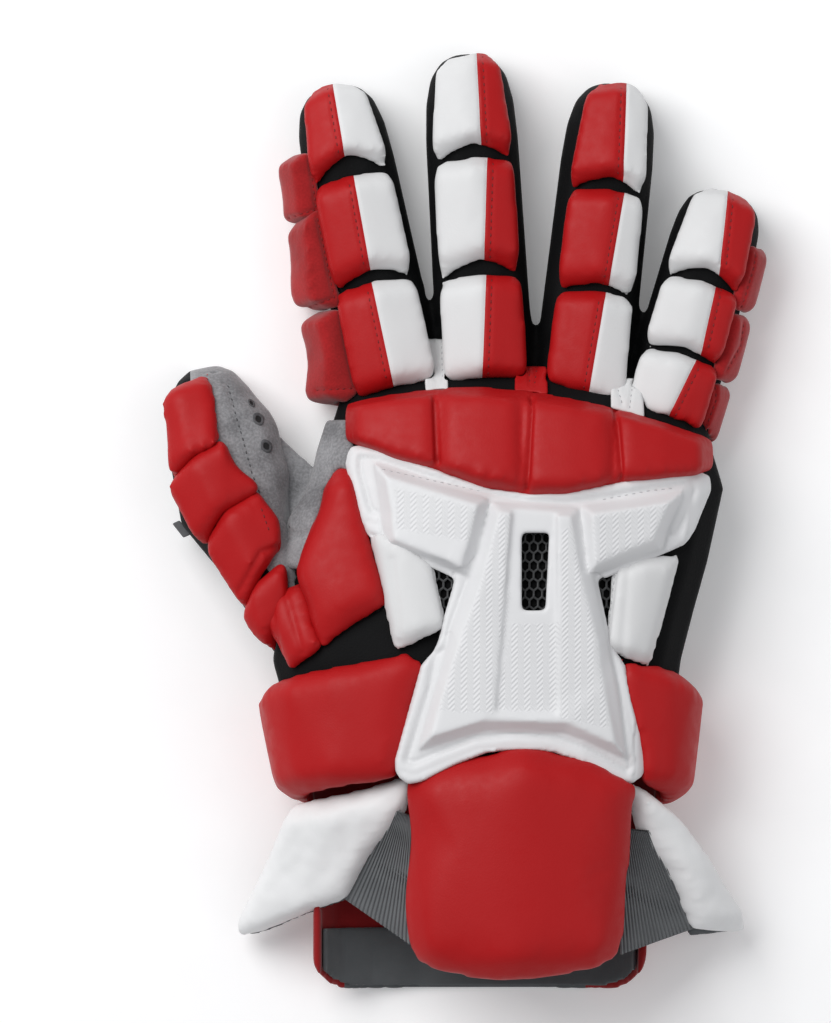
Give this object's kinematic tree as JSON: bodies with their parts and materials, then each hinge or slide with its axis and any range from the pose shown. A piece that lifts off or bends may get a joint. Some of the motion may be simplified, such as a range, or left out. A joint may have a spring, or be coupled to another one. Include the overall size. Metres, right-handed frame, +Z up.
{
  "type": "lacrosse glove",
  "caption": "Padded right-hand lacrosse glove lying palm down: foam finger, thumb and knuckle pads, a moulded backhand plate, and an open cuff with bands, a flap and wings.",
  "frame": {"origin": "middle of the bounding box, on the surface that the palm lies on", "axes": "+Y towards the fingertips, +Z up out of the back of the hand, -X towards the thumb"},
  "size_m": [0.2108, 0.3298, 0.0635],
  "materials": {
    "red_leather": "smooth synthetic leather over foam",
    "red_and_white_leather": "red and white synthetic leather over foam, the two colours sewn together lengthways",
    "white_leather": "smooth synthetic leather",
    "red_nubuck": "brushed",
    "dark_red_fabric": "woven",
    "black_fabric": "knitted",
    "black_mesh": "open honeycomb mesh",
    "grey_suede": "suede with small vents",
    "grey_lining": "matt",
    "grey_elastic": "ribbed elastic",
    "white_moulded": "moulded with a fine texture"
  },
  "bodies": {
    "root": {"hand_shell": "black_fabric", "index_shell": "black_fabric", "middle_shell": "black_fabric", "ring_shell": "black_fabric", "little_shell": "black_fabric", "palm": "grey_suede", "thumb_palm": "grey_suede", "thumb_shell": "black_fabric", "knuckle_roll": "red_leather", "index_pad_1": "red_and_white_leather", "index_pad_2": "red_and_white_leather", "index_pad_3": "red_and_white_leather", "middle_pad_1": "red_and_white_leather", "middle_pad_2": "red_and_white_leather", "middle_pad_3": "red_and_white_leather", "ring_pad_1": "red_and_white_leather", "ring_pad_2": "red_and_white_leather", "ring_pad_3": "red_and_white_leather", "little_pad_1": "red_and_white_leather", "little_pad_2": "red_and_white_leather", "little_pad_3": "red_and_white_leather", "index_side_pad_1": "red_nubuck", "index_side_pad_2": "red_nubuck", "index_side_pad_3": "red_nubuck", "little_side_pad_1": "red_nubuck", "little_side_pad_2": "red_nubuck", "little_side_pad_3": "red_nubuck", "thumb_pad_1": "red_leather", "thumb_pad_2": "red_leather", "thumb_pad_3": "red_leather", "thumb_pad_4": "red_leather", "saddle_pad": "red_leather", "thumb_base_pad": "red_leather", "finger_web_1": "white_leather", "finger_web_2": "red_leather", "finger_web_3": "white_leather", "palm_web": "grey_suede", "thumb_tab": "grey_elastic", "mesh_panel": "black_mesh", "backhand_plate": "white_moulded", "left_hand_pad": "white_leather", "right_hand_pad": "white_leather", "left_band": "red_leather", "right_band": "red_leather", "cuff_flap": "red_leather", "left_wing": "white_leather", "right_wing": "white_leather", "left_wing_lining": "grey_lining", "right_wing_lining": "grey_lining", "left_elastic": "grey_elastic", "right_elastic": "grey_elastic", "palm_cuff": "dark_red_fabric", "cuff_lining": "grey_lining"}
  },
  "joints": []
}
